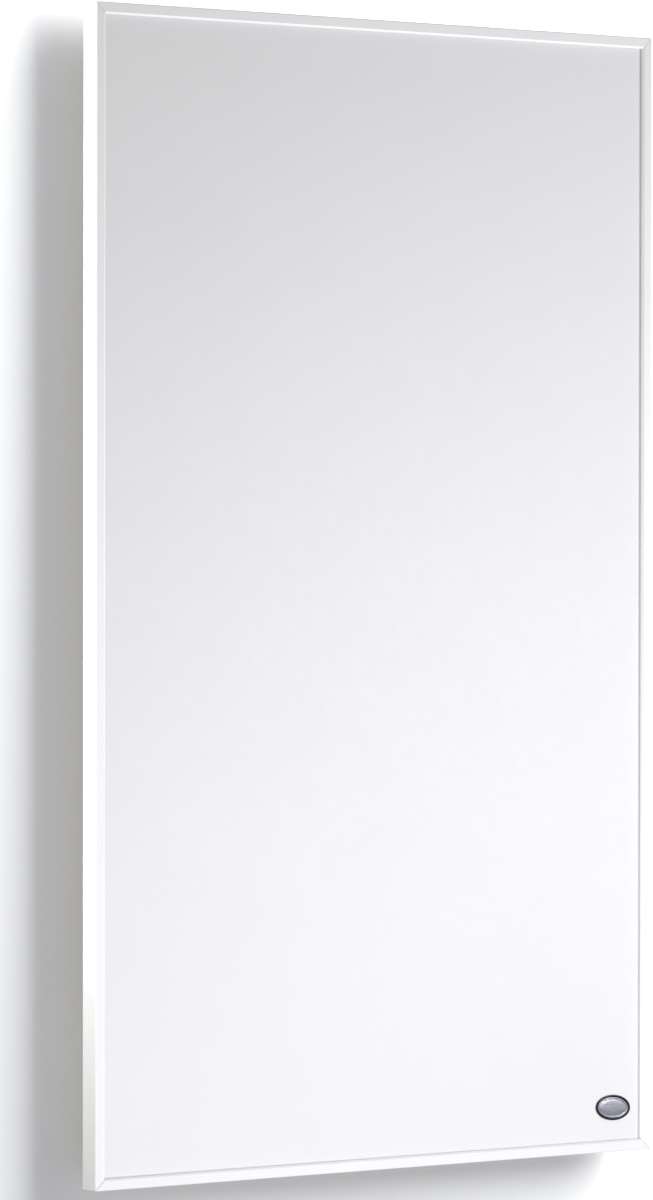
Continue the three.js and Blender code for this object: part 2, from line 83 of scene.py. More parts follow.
def make_camera():
    ahead = Vector((math.sin(YAW) * math.cos(PITCH), math.cos(YAW) * math.cos(PITCH), math.sin(PITCH)))
    right = Vector((math.cos(YAW), -math.sin(YAW), 0.0))
    up = right.cross(ahead)
    r = right * math.cos(ROLL) + up * math.sin(ROLL)
    u = up * math.cos(ROLL) - right * math.sin(ROLL)
    data = bpy.data.cameras.new("camera")
    data.sensor_width = 36.0
    data.lens = 174.54
    data.clip_start, data.clip_end = 0.1, 100.0
    cam = bpy.data.objects.new("camera", data)
    scene.collection.objects.link(cam)
    m = Matrix.Identity(4)
    for i, axis in enumerate((r, u, -ahead)):
        m[0][i], m[1][i], m[2][i] = axis
    m[0][3], m[1][3], m[2][3] = CAM_AT
    cam.matrix_world = m
    scene.camera = cam


make_camera()

# ------------------------------------------------------------------ sizes, in mm, as in the frame
W, H = 600.0, 1000.0
Y_FRONT = -45.0
DEPTH = 20.0
Y_REAR = Y_FRONT + DEPTH
CORNERS = (("tl", -1, 1), ("tr", 1, 1), ("bl", -1, -1), ("br", 1, -1))


# ------------------------------------------------------------------ outlines
def rounded(points, segs=6):
    """Closed outline through points of (x, y, radius); each corner becomes an arc."""
    out = []
    n = len(points)
    for i in range(n):
        x, y, r = points[i]
        p = Vector((x, y))
        a = Vector(points[i - 1][:2]) - p
        b = Vector(points[(i + 1) % n][:2]) - p
        a.normalize()
        b.normalize()
        if r <= 1e-6:
            out.append((x, y))
            continue
        half = math.acos(max(-1.0, min(1.0, a.dot(b)))) / 2
        t = r / math.tan(half)
        c = p + (a + b).normalized() * (r / math.sin(half))
        s, e = p + a * t - c, p + b * t - c
        sweep = s.angle_signed(e)
        for k in range(segs + 1):
            q = s.copy()
            q.rotate(Matrix.Rotation(-sweep * k / segs, 2))
            out.append((c.x + q.x, c.y + q.y))
    return out


def box_outline(x0, y0, x1, y1, r, segs=6):
    return rounded([(x0, y0, r), (x1, y0, r), (x1, y1, r), (x0, y1, r)], segs)


def circle(cx, cy, r, n=32, start=0.0):
    return [(cx + r * math.cos(start + 2 * math.pi * k / n), cy + r * math.sin(start + 2 * math.pi * k / n)) for k in range(n)]


def area(outline):
    return sum(a[0] * b[1] - b[0] * a[1] for a, b in zip(outline, outline[1:] + outline[:1])) / 2


def ccw(outline):
    return outline if area(outline) > 0 else outline[::-1]


def inset(outline, d):
    """The outline moved inwards by d, corner for corner."""
    if abs(d) < 1e-9:
        return list(outline)
    pts = [Vector(p) for p in outline]
    n = len(pts)
    sign = 1.0 if area(outline) > 0 else -1.0
    out = []
    for i in range(n):
        e0 = pts[i] - pts[i - 1]
        e1 = pts[(i + 1) % n] - pts[i]
        n0 = Vector((-e0.y, e0.x)).normalized() * sign
        n1 = Vector((-e1.y, e1.x)).normalized() * sign
        m = n0 + n1
        k = m.length_squared
        m = m * (2.0 / k) if k > 0.2 else n0
        out.append((pts[i].x + m.x * d, pts[i].y + m.y * d))
    return out


def edge_steps(r, n=4):
    """Rounded rim of radius r as (distance in from the face, inset of the outline), face first."""
    return [(r - r * math.sin(a), r - r * math.cos(a)) for a in (math.pi / 2 * (1 - k / n) for k in range(n + 1))]


# ------------------------------------------------------------------ meshes
def place_y(x, z, y):
    return Vector((x * MM, y * MM, z * MM))


def shade(mesh, degrees=32.0):
    bm = bmesh.new()
    bm.from_mesh(mesh)
    bmesh.ops.remove_doubles(bm, verts=bm.verts, dist=1e-7)
    bmesh.ops.recalc_face_normals(bm, faces=bm.faces)
    limit = math.radians(degrees)
    for f in bm.faces:
        f.smooth = True
    for e in bm.edges:
        e.smooth = len(e.link_faces) == 2 and e.calc_face_angle(0.0) < limit
    bm.to_mesh(mesh)
    bm.free()
    mesh.update()


def flat_first(obj):
    """Normals that follow the large flat faces, so that narrow rounded rims don't shade across them."""
    m = obj.modifiers.new("normals", "WEIGHTED_NORMAL")
    m.mode, m.weight, m.keep_sharp = "FACE_AREA", 50, True
    return obj


def new_object(name, bm, materials, degrees=32.0):
    mesh = bpy.data.meshes.new(name)
    bm.to_mesh(mesh)
    bm.free()
    shade(mesh, degrees)
    obj = bpy.data.objects.new(name, mesh)
    for m in materials if isinstance(materials, (list, tuple)) else [materials]:
        mesh.materials.append(m)
    scene.collection.objects.link(obj)
    return obj


def ring(bm, outline, at):
    return [bm.verts.new(at(*p)) for p in outline]


def bridge(bm, a, b, index=0):
    n = len(a)
    for i in range(n):
        j = (i + 1) % n
        f = bm.faces.new((a[i], a[j], b[j], b[i]))
        f.material_index = index


def cap(bm, rings, outlines, index=0):
    """Flat cap between a first ring and any holes."""
    if len(rings) == 1:
        f = bm.faces.new(rings[0])
        f.material_index = index
        return
    flat = [v for r in rings for v in r]
    for tri in tessellate_polygon([[Vector((p[0], p[1], 0.0)) for p in o] for o in outlines]):
        if len({flat[k] for k in tri}) == 3:
            f = bm.faces.new([flat[k] for k in tri])
            f.material_index = index


def slab(bm, outlines, y0, y1, rim=0.2, steps=3, rims=None, at=place_y):
    """Plate between the planes y0 and y1 with rounded rims; outlines in x and z, the first is the outside."""
    rims = rims or [rim] * len(outlines)
    ends = {y0: [], y1: []}
    shapes = {y0: [], y1: []}
    sign = 1.0 if y1 > y0 else -1.0
    for k, o in enumerate(outlines):
        d_in = 1.0 if k == 0 else -1.0
        r = rims[k]
        levels = [(y0 + sign * h, s) for h, s in edge_steps(r, steps)]
        levels += [(y1 - sign * h, s) for h, s in reversed(edge_steps(r, steps))]
        last = None
        made = []
        for y, s in levels:
            shape = inset(o, s * d_in)
            made.append((shape, ring(bm, shape, lambda x, z, y=y: at(x, z, y))))
        for (_, a), (_, b) in zip(made, made[1:]):
            bridge(bm, a, b)
        ends[y0].append(made[0][1])
        shapes[y0].append(made[0][0])
        ends[y1].append(made[-1][1])
        shapes[y1].append(made[-1][0])
    for y in (y0, y1):
        cap(bm, ends[y], shapes[y])


def lathe(bm, profile, at, n=48, index=0, close=True):
    """Turned body; profile of (radius, height), at(x, y, height) places it. Points on the axis close it."""
    rings = []
    for r, h in profile:
        if r < 1e-6:
            rings.append([bm.verts.new(at(0.0, 0.0, h))])
        else:
            rings.append([bm.verts.new(at(r * math.cos(2 * math.pi * k / n), r * math.sin(2 * math.pi * k / n), h)) for k in range(n)])
    pairs = list(zip(rings, rings[1:]))
    if close and len(rings[0]) > 1 and len(rings[-1]) > 1:
        pairs.append((rings[-1], rings[0]))
    for a, b in pairs:
        for k in range(n):
            j = (k + 1) % n
            if len(a) == 1 and len(b) == 1:
                continue
            if len(a) == 1:
                f = bm.faces.new((a[0], b[j], b[k]))
            elif len(b) == 1:
                f = bm.faces.new((a[k], a[j], b[0]))
            else:
                f = bm.faces.new((a[k], a[j], b[j], b[k]))
            f.material_index = index


def about_y(cx, cz):
    """Turned about a line along Y: the profile's height is y."""
    return lambda a, b, h: Vector(((cx + a) * MM, h * MM, (cz + b) * MM))


def about_z(cx, cy):
    return lambda a, b, h: Vector(((cx + a) * MM, (cy + b) * MM, h * MM))


def carve(obj, *cutters, how="DIFFERENCE", degrees=32.0):
    """Takes the cutters out of obj, or joins them to it, and removes them."""
    for i, c in enumerate(cutters):
        m = obj.modifiers.new(f"cut{i}", "BOOLEAN")
        m.operation, m.solver, m.object = how, "EXACT", c
    bpy.context.view_layer.update()
    made = bpy.data.meshes.new_from_object(obj.evaluated_get(bpy.context.evaluated_depsgraph_get()))
    old, name = obj.data, obj.data.name
    obj.modifiers.clear()
    obj.data = made
    bpy.data.meshes.remove(old)
    made.name = name
    for c in cutters:
        mesh = c.data
        bpy.data.objects.remove(c)
        bpy.data.meshes.remove(mesh)
    shade(made, degrees)
    return obj


def bevel(obj, width_mm, segments=2, degrees=35.0):
    m = obj.modifiers.new("edges", "BEVEL")
    m.width, m.segments = width_mm * MM, segments
    m.limit_method, m.angle_limit = "ANGLE", math.radians(degrees)
    m.use_clamp_overlap = True
    bpy.context.view_layer.update()
    made = bpy.data.meshes.new_from_object(obj.evaluated_get(bpy.context.evaluated_depsgraph_get()))
    old, name = obj.data, obj.data.name
    obj.modifiers.clear()
    obj.data = made
    bpy.data.meshes.remove(old)
    made.name = name
    shade(made)
    return obj


# ------------------------------------------------------------------ materials
class Finish:
    """A node material in object space, scaled to millimetres."""

    def __init__(self, name, color, rough, metallic=0.0, **sockets):
        self.m = bpy.data.materials.new(name)
        self.m.use_nodes = True
        self.t = self.m.node_tree
        self.b = next(n for n in self.t.nodes if n.type == "BSDF_PRINCIPLED")
        self.b.inputs["Base Color"].default_value = (*color, 1.0)
        self.b.inputs["Roughness"].default_value = rough
        self.b.inputs["Metallic"].default_value = metallic
        for k, v in sockets.items():
            self.b.inputs[k.replace("_", " ")].default_value = v
        self.color, self.rough = color, rough
        self.height = None
        self.m.diffuse_color = (*color, 1.0)

    def node(self, kind, **props):
        n = self.t.nodes.new(kind)
        for k, v in props.items():
            setattr(n, k, v)
        return n

    def link(self, a, b):
        self.t.links.new(a, b)

    def coords(self, sx=1.0, sy=1.0, sz=1.0, turn=(0, 0, 0)):
        """Object coordinates in mm, times the scale of each axis."""
        tc = self.node("ShaderNodeTexCoord")
        mp = self.node("ShaderNodeMapping")
        mp.inputs["Scale"].default_value = (1000 * sx, 1000 * sy, 1000 * sz)
        mp.inputs["Rotation"].default_value = turn
        self.link(tc.outputs["Object"], mp.inputs["Vector"])
        return mp.outputs["Vector"]

    def noise(self, wavelength, detail=2.0, rough=0.5, stretch=(1, 1, 1), distort=0.0):
        n = self.node("ShaderNodeTexNoise")
        self.link(self.coords(*stretch), n.inputs["Vector"])
        n.inputs["Scale"].default_value = 1.0 / wavelength
        n.inputs["Detail"].default_value = detail
        n.inputs["Roughness"].default_value = rough
        n.inputs["Distortion"].default_value = distort
        return n.outputs["Fac"]

    def cells(self, wavelength, feature="F1", stretch=(1, 1, 1), output="Distance"):
        n = self.node("ShaderNodeTexVoronoi", feature=feature)
        self.link(self.coords(*stretch), n.inputs["Vector"])
        n.inputs["Scale"].default_value = 1.0 / wavelength
        return n.outputs[output]

    def remap(self, fac, lo, hi, to_lo, to_hi):
        n = self.node("ShaderNodeMapRange", clamp=True)
        self.link(fac, n.inputs["Value"])
        for k, v in (("From Min", lo), ("From Max", hi), ("To Min", to_lo), ("To Max", to_hi)):
            n.inputs[k].default_value = v
        return n.outputs["Result"]

    def tint(self, fac, low, high, lo=0.3, hi=0.7):
        """Colour from low to high as fac goes from lo to hi."""
        n = self.node("ShaderNodeValToRGB")
        r = n.color_ramp
        r.elements[0].position, r.elements[0].color = lo, (*low, 1.0)
        r.elements[1].position, r.elements[1].color = hi, (*high, 1.0)
        self.link(fac, n.inputs["Fac"])
        self.link(n.outputs["Color"], self.b.inputs["Base Color"])
        return n.outputs["Color"]

    def vary(self, fac, amount):
        """Base colour up and down by amount with fac."""
        c = self.color
        return self.tint(fac, [x * (1 - amount) for x in c], [min(1.0, x * (1 + amount)) for x in c])

    def roughness(self, fac, lo, hi):
        self.link(self.remap(fac, 0.3, 0.7, lo, hi), self.b.inputs["Roughness"])

    def bump(self, fac, height_mm, strength=1.0):
        """Adds relief; fac of 0 to 1 stands for height_mm."""
        n = self.node("ShaderNodeBump")
        n.inputs["Strength"].default_value = strength
        n.inputs["Distance"].default_value = height_mm * MM
        self.link(fac, n.inputs["Height"])
        if self.height is not None:
            self.link(self.height, n.inputs["Normal"])
        self.height = n.outputs["Normal"]
        self.link(self.height, self.b.inputs["Normal"])


def powder(name, color, rough, along=None, grain=1.0):
    f = Finish(name, color, rough)
    f.vary(f.noise(60.0, 3.0), 0.006)
    f.roughness(f.noise(9.0, 3.0), rough - 0.03, rough + 0.03)
    if along is not None:
        s = [1.0, 1.0, 1.0]
        s[along] = 0.004
        f.bump(f.noise(1.6, 3.0, 0.6, tuple(s)), 0.018)
    f.bump(f.noise(2.6, 1.0), 0.012 * grain)
    f.bump(f.noise(0.55, 2.0), 0.006 * grain)
    return f.m


FRAME_WHITE = (0.875, 0.876, 0.878)
PLATE_WHITE = (0.82, 0.82, 0.823)
M = {}
M["frame_x"] = powder("frame_white_across", FRAME_WHITE, 0.42, along=0)
M["frame_z"] = powder("frame_white_upright", FRAME_WHITE, 0.42, along=2)
M["plate"] = powder("plate_white", PLATE_WHITE, 0.55, grain=1.6)


def zinc(name="zinc_sheet"):
    f = Finish(name, (0.60, 0.62, 0.63), 0.42, 0.85)
    n = f.node("ShaderNodeTexVoronoi", feature="F1")
    f.link(f.coords(), n.inputs["Vector"])
    n.inputs["Scale"].default_value = 1.0 / 8.0
    n.inputs["Detail"].default_value = 1.0
    n.inputs["Roughness"].default_value = 0.4
    f.tint(n.outputs["Color"], (0.575, 0.595, 0.607), (0.63, 0.648, 0.658), 0.2, 0.8)
    f.roughness(n.outputs["Color"], 0.38, 0.48)
    f.bump(f.noise(7.0, 3.0), 0.02)
    f.bump(f.noise(0.6, 2.0), 0.003)
    return f.m


def steel(name="fastener_steel"):
    f = Finish(name, (0.62, 0.63, 0.64), 0.30, 1.0)
    f.vary(f.noise(1.5, 3.0), 0.06)
    f.roughness(f.noise(0.8, 3.0), 0.24, 0.38)
    f.bump(f.noise(0.25, 2.0), 0.002)
    return f.m


def mill(name="bare_aluminium"):
    f = Finish(name, (0.78, 0.785, 0.79), 0.38, 1.0)
    f.vary(f.noise(2.5, 3.0), 0.04)
    f.roughness(f.noise(1.2, 3.0), 0.30, 0.46)
    f.bump(f.noise(0.5, 3.0, 0.6, (1, 1, 0.05)), 0.003)
    return f.m


def foil():
    f = Finish("foil", (0.85, 0.86, 0.87), 0.22, 1.0)
    f.vary(f.noise(14.0, 4.0), 0.03)
    f.roughness(f.noise(4.0, 3.0), 0.14, 0.32)
    f.bump(f.cells(9.0), 0.12)
    f.bump(f.noise(2.0, 4.0, 0.65), 0.06)
    return f.m


def copper():
    f = Finish("copper", (0.80, 0.42, 0.25), 0.30, 1.0)
    f.tint(f.noise(18.0, 4.0), (0.70, 0.34, 0.20), (0.84, 0.47, 0.29))
    f.roughness(f.noise(3.0, 3.0), 0.24, 0.40)
    f.bump(f.noise(0.6, 3.0, 0.6, (1, 1, 0.02)), 0.004)
    return f.m


def laminate():
    f = Finish("laminate", (0.028, 0.028, 0.030), 0.48)
    w = f.node("ShaderNodeTexWave", wave_type="BANDS", bands_direction="X")
    f.link(f.coords(), w.inputs["Vector"])
    w.inputs["Scale"].default_value = 1.0 / 3.2
    w.inputs["Distortion"].default_value = 1.2
    v = f.node("ShaderNodeTexWave", wave_type="BANDS", bands_direction="Z")
    f.link(f.coords(), v.inputs["Vector"])
    v.inputs["Scale"].default_value = 1.0 / 3.2
    v.inputs["Distortion"].default_value = 1.2
    f.tint(f.noise(5.0, 4.0), (0.018, 0.018, 0.020), (0.045, 0.045, 0.048))
    f.bump(w.outputs["Fac"], 0.02)
    f.bump(v.outputs["Fac"], 0.02)
    return f.m


def wool():
    f = Finish("wool", (0.70, 0.62, 0.38), 0.95, Sheen_Weight=0.25, Sheen_Roughness=0.6)
    f.tint(f.noise(6.0, 5.0, 0.65, (1, 4, 1), 0.8), (0.60, 0.52, 0.30), (0.78, 0.71, 0.48))
    f.bump(f.noise(2.2, 6.0, 0.7, (1, 5, 1), 1.5), 0.5)
    return f.m


def moulded(name, color, rough, spark=0.02, wave=0.45):
    f = Finish(name, color, rough)
    f.vary(f.noise(25.0, 3.0), 0.02)
    f.roughness(f.noise(3.0, 3.0), rough - 0.05, rough + 0.06)
    f.bump(f.noise(wave, 3.0, 0.6), spark)
    return f.m


def silicone(name, color, stripe=None):
    f = Finish(name, color, 0.45)
    if stripe is None:
        f.vary(f.noise(3.0, 3.0), 0.06)
    else:
        w = f.node("ShaderNodeTexWave", wave_type="BANDS", bands_direction="DIAGONAL")
        f.link(f.coords(), w.inputs["Vector"])
        w.inputs["Scale"].default_value = 0.55
        w.inputs["Distortion"].default_value = 0.6
        f.tint(w.outputs["Fac"], color, stripe, 0.47, 0.53)
    f.bump(f.noise(0.5, 2.0), 0.006)
    return f.m


M["zinc"] = zinc()
M["steel"] = steel()
M["alu"] = mill()
M["foil"] = foil()
M["copper"] = copper()
M["laminate"] = laminate()
M["wool"] = wool()
M["box"] = moulded("box_white", (0.74, 0.74, 0.715), 0.48)
M["grey"] = moulded("gland_grey", (0.27, 0.285, 0.30), 0.42, 0.008)
M["seal"] = moulded("seal_grey", (0.66, 0.665, 0.67), 0.7, 0.01)
M["rubber"] = moulded("gland_rubber", (0.03, 0.03, 0.031), 0.65, 0.015)
M["ceramic"] = moulded("ceramic", (0.72, 0.68, 0.56), 0.5, 0.02, 0.8)
M["brown"] = silicone("lead_brown", (0.16, 0.055, 0.022))
M["blue"] = silicone("lead_blue", (0.03, 0.12, 0.40))
M["earth"] = silicone("lead_green_yellow", (0.06, 0.26, 0.05), (0.72, 0.60, 0.04))


def badge_metal():
    f = Finish("badge_silver", (0.33, 0.335, 0.375), 0.36, 0.75)
    lines = f.noise(0.35, 4.0, 0.7, (0.02, 1, 1))
    f.tint(lines, (0.25, 0.255, 0.29), (0.40, 0.405, 0.45))
    f.roughness(f.noise(1.5, 2.0, 0.5, (0.1, 1, 1)), 0.28, 0.42)
    f.bump(lines, 0.006)
    return f.m


def badge_black():
    f = Finish("badge_rim", (0.004, 0.004, 0.005), 0.30, Specular_IOR_Level=0.30)
    f.roughness(f.noise(1.2, 3.0), 0.25, 0.36)
    f.bump(f.noise(3.0, 2.0), 0.01)
    return f.m


M["badge_silver"] = badge_metal()
M["badge_black"] = badge_black()

# ------------------------------------------------------------------ frame rails
RAIL = rounded([
    (0.0, 0.0, 1.0), (8.4, 0.0, 0.35), (10.0, 1.6, 0.35), (10.0, 3.0, 0.25), (8.0, 3.0, 0.12), (8.0, 18.5, 0.12),
    (12.0, 18.5, 0.2), (12.0, 20.0, 0.35), (0.0, 20.0, 1.0),
], 6)
RAIL_HOLE = box_outline(1.5, 1.5, 6.5, 18.5, 0.5, 4)
MITRE = 0.12      # set-back of each rail's end, along the rail


def rail(name, length, at, material, node, reach=MITRE):
    """Hollow rail with both ends mitred; at(s, u, y) places a point."""
    bm = bmesh.new()
    r = 0.38
    ends = edge_steps(r, 3)                       # distance in from the mitre face, inset
    stations = [(-1, h, s) for h, s in ends] + [(1, h, s) for h, s in reversed(ends)]
    rings = []
    for side, h, s in stations:
        outer, hole = inset(RAIL, s), inset(RAIL_HOLE, -min(s, 0.2))
        made = []
        for o in (outer, hole):
            made.append([bm.verts.new(at(side * (length / 2 - u - reach - h), u, Y_FRONT + v) * MM) for u, v in o])
        rings.append((made, (outer, hole)))
    for (a, _), (b, _) in zip(rings, rings[1:]):
        for k in (0, 1):
            bridge(bm, a[k], b[k])
    for made, shapes in (rings[0], rings[-1]):
        cap(bm, made, shapes)
    obj = flat_first(new_object(name, bm, material))
    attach(obj, "panel")
    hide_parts(node)
    return obj


rail("rail_top", W, lambda s, u, y: Vector((s, y, H / 2 - u)), M["frame_x"], "frame_top")
rail("rail_bottom", W, lambda s, u, y: Vector((s, y, -H / 2 + u)), M["frame_x"], "frame_bottom")
rail("rail_left", H, lambda s, u, y: Vector((-W / 2 + u, y, s)), M["frame_z"], "frame_left")
rail("rail_right", H, lambda s, u, y: Vector((W / 2 - u, y, s)), M["frame_z"], "frame_right")


# ------------------------------------------------------------------ front plate
def replaced(obj, body, slot, *nodes):
    flat_first(obj)
    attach(obj, body)
    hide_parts(*nodes)
    return obj


def front_plate():
    bm = bmesh.new()
    e = 8.3
    slab(bm, [box_outline(-W / 2 + e, -H / 2 + e, W / 2 - e, H / 2 - e, 1.2, 6)], Y_FRONT + 4.2, Y_FRONT + 5.4, 0.3, 3)
    return replaced(new_object("radiating_plate", bm, M["plate"]), "panel", "plate_white", "front_plate")


front_plate()

# ------------------------------------------------------------------ badge
BADGE = dict(x=259.8, z=-460.6, a=19.5, b=11.35, turn=math.radians(-4.0))


def ellipse(d, n=144):
    """The badge's outline moved in by d."""
    a, b = BADGE["a"], BADGE["b"]
    out = []
    for k in range(n):
        t = 2 * math.pi * k / n
        nx, nz = math.cos(t) / a, math.sin(t) / b
        q = math.hypot(nx, nz)
        x, z = a * math.cos(t) - nx / q * d, b * math.sin(t) - nz / q * d
        c, s = math.cos(BADGE["turn"]), math.sin(BADGE["turn"])
        out.append((BADGE["x"] + x * c - z * s, BADGE["z"] + x * s + z * c))
    return out


def badge():
    back, top = Y_FRONT + 4.2, Y_FRONT + 2.9        # seat on the plate, highest point of the rim
    rim = [(0.15, back), (0.0, back - 0.15), (0.0, top + 0.45)]
    for k in range(1, 8):                            # rounded bead of the rim
        a = math.pi * k / 8
        rim.append((1.05 - 1.05 * math.cos(a), top + 0.45 - 0.45 * math.sin(a)))
    rim += [(2.1, top + 0.45), (2.1, top + 0.75), (1.95, back)]
    bm = bmesh.new()
    loops = [ring(bm, ellipse(d), lambda x, z, y=y: place_y(x, z, y)) for d, y in rim]
    for a, b in zip(loops, loops[1:] + loops[:1]):
        bridge(bm, a, b)
    replaced(new_object("badge_rim", bm, M["badge_black"], 50.0), "panel", "badge", "badge_plate")

    face = top + 0.50
    field = [(2.15, back), (2.15, top + 0.62), (2.3, face + 0.02)]
    for d0 in (3.1, 3.9):                            # two fine grooves inside the rim
        field += [(d0 - 0.22, face - 0.01), (d0 - 0.1, face + 0.09), (d0 + 0.1, face + 0.09), (d0 + 0.22, face - 0.01)]
    bm = bmesh.new()
    loops = [ring(bm, ellipse(d), lambda x, z, y=y: place_y(x, z, y)) for d, y in field]
    last = ellipse(4.4)
    cx, cz = BADGE["x"], BADGE["z"]
    steps = 10
    for k in range(steps):                           # shallow dome to the centre
        f = 1 - k / steps
        y = face - 0.02 - 0.26 * math.sqrt(max(0.0, 1 - f * f))
        loops.append(ring(bm, [(cx + (x - cx) * f, cz + (z - cz) * f) for x, z in last], lambda x, z, y=y: place_y(x, z, y)))
    for a, b in zip(loops, loops[1:]):
        bridge(bm, a, b)
    bm.faces.new(loops[0])
    tip = bm.verts.new(place_y(cx, cz, face - 0.28))
    for i in range(len(loops[-1])):
        bm.faces.new((loops[-1][i], loops[-1][(i + 1) % len(loops[-1])], tip))
    replaced(new_object("badge_field", bm, M["badge_silver"], 50.0), "panel", "badge", "badge_plate")


badge()

# ------------------------------------------------------------------ edge seal
def edge_seal():
    """Soft bead between lip and plate: a round-sided strip, one loop right round the frame."""
    section = [(8.35, 3.16), (8.3, 3.5), (8.38, 3.9), (8.7, 4.1), (9.5, 4.12), (9.86, 3.9), (9.95, 3.58), (9.82, 3.22), (9.4, 3.07), (8.7, 3.08)]
    bm = bmesh.new()
    loops = []
    for u, v in section:
        o = box_outline(-W / 2 + u, -H / 2 + u, W / 2 - u, H / 2 - u, 0.8, 5)
        loops.append(ring(bm, o, lambda x, z, y=Y_FRONT + v: place_y(x, z, y)))
    for a, b in zip(loops, loops[1:] + loops[:1]):
        bridge(bm, a, b)
    replaced(new_object("seal_bead", bm, M["seal"], 60.0), "panel", "seal_grey", "edge_seal")


edge_seal()

# ------------------------------------------------------------------ rear sheet
COVER_FRONT, COVER_BACK = Y_FRONT + 17.6, Y_FRONT + 18.2
FIX_X, FIX_Z = 225.0, 375.0
JZ = -300.0
JB_FRONT, JB_BACK = -26.5, -8.4
ENTRY_Z = JZ + 18
BOX_SCREWS = (("left", -36, JZ - 18), ("right", 36, JZ - 18))
EARTH_X, EARTH_Z = -32, JZ + 16
RIVETS = [(f"{tag}_{k}", sx * FIX_X + d * 19, sz * FIX_Z - 4) for tag, sx, sz in CORNERS for k, d in (("a", -1), ("b", 1))]


def cylinder_y(cx, cz, r, y0, y1, n=40, name="cutter"):
    bm = bmesh.new()
    slab(bm, [circle(cx, cz, r, n)], y0, y1, 0.001, 1)
    return new_object(name, bm, M["steel"])


def pressed_sheet(name, outer, holes, ribs, y0, y1, rise, run, material, rim=0.12):
    """Thin sheet with ribs pressed out of its rear face; the inside of each rib is hollow."""
    bm = bmesh.new()
    ends, shapes = {y0: [], y1: []}, {y0: [], y1: []}
    for k, o in enumerate([outer] + holes):
        d_in = 1.0 if k == 0 else -1.0
        levels = [(y0 + h, s) for h, s in edge_steps(rim, 2)] + [(y1 - h, s) for h, s in reversed(edge_steps(rim, 2))]
        made = []
        for y, s in levels:
            shape = inset(o, s * d_in)
            made.append((shape, ring(bm, shape, lambda x, z, y=y: place_y(x, z, y))))
        for (_, a), (_, b) in zip(made, made[1:]):
            bridge(bm, a, b)
        for y, m in ((y0, made[0]), (y1, made[-1])):
            shapes[y].append(m[0])
            ends[y].append(m[1])
    n = 8
    for o in ribs:
        for y in (y0, y1):
            last = None
            for k in range(n + 1):
                t = k / n
                shape = inset(o, run * t + (0.2 if y == y0 else 0.0))
                now = ring(bm, shape, lambda x, z, y=y + rise * (3 * t * t - 2 * t ** 3): place_y(x, z, y))
                if last is None:
                    ends[y].append(now)
                    shapes[y].append(shape)
                else:
                    bridge(bm, last, now)
                last = now
            m = len(last)                            # top of the rib, as a ladder of quads across it
            long_x = max(q[0] for q in o) - min(q[0] for q in o) > max(q[1] for q in o) - min(q[1] for q in o)
            first = m // 2 - 1 if long_x else m // 4 - 1
            rungs = [((first - k) % m, (first + 1 + k) % m) for k in range(m // 2)]
            for (a, b), (c, d) in zip(rungs, rungs[1:]):
                bm.faces.new((last[a], last[b], last[d], last[c]))
    for y in (y0, y1):
        before = set(bm.faces)
        cap(bm, ends[y], shapes[y])
        flat = [f for f in bm.faces if f not in before]
        inner = list({e for f in flat for e in f.edges if all(g in flat for g in e.link_faces)})
        bmesh.ops.beautify_fill(bm, faces=flat, edges=inner, method="AREA")
    return new_object(name, bm, material)


def rear_sheet():
    e = 8.3
    outer = box_outline(-W / 2 + e, -H / 2 + e, W / 2 - e, H / 2 - e, 1.5, 5)
    holes = [circle(0, ENTRY_Z, 7.0, 40), circle(EARTH_X, EARTH_Z, 2.4, 24)]
    holes += [circle(x, z, 2.1, 24) for _, x, z in BOX_SCREWS]
    holes += [circle(x, z, 2.0, 24) for _, x, z in RIVETS]
    ribs = [box_outline(x - 9, z0, x + 9, z1, 8.9, 10) for x, z0, z1 in (
        (-130, -430, 430), (0, -215, 430), (130, -430, 430))]
    ribs += [box_outline(-60, -448, 60, -430, 8.9, 10)]
    obj = pressed_sheet("back_sheet", outer, holes, ribs, COVER_FRONT, COVER_BACK, 1.1, 4.2, M["zinc"])
    replaced(obj, "panel", "zinc_sheet", "rear_cover")


rear_sheet()


# ------------------------------------------------------------------ hangers
def prism(bm, outline, z0, z1, rim=0.12, steps=2):
    """Bar of the outline in x and y between two heights, with rounded ends."""
    slab(bm, [outline], z0, z1, rim, steps, at=lambda x, y, z: Vector((x * MM, y * MM, z * MM)))


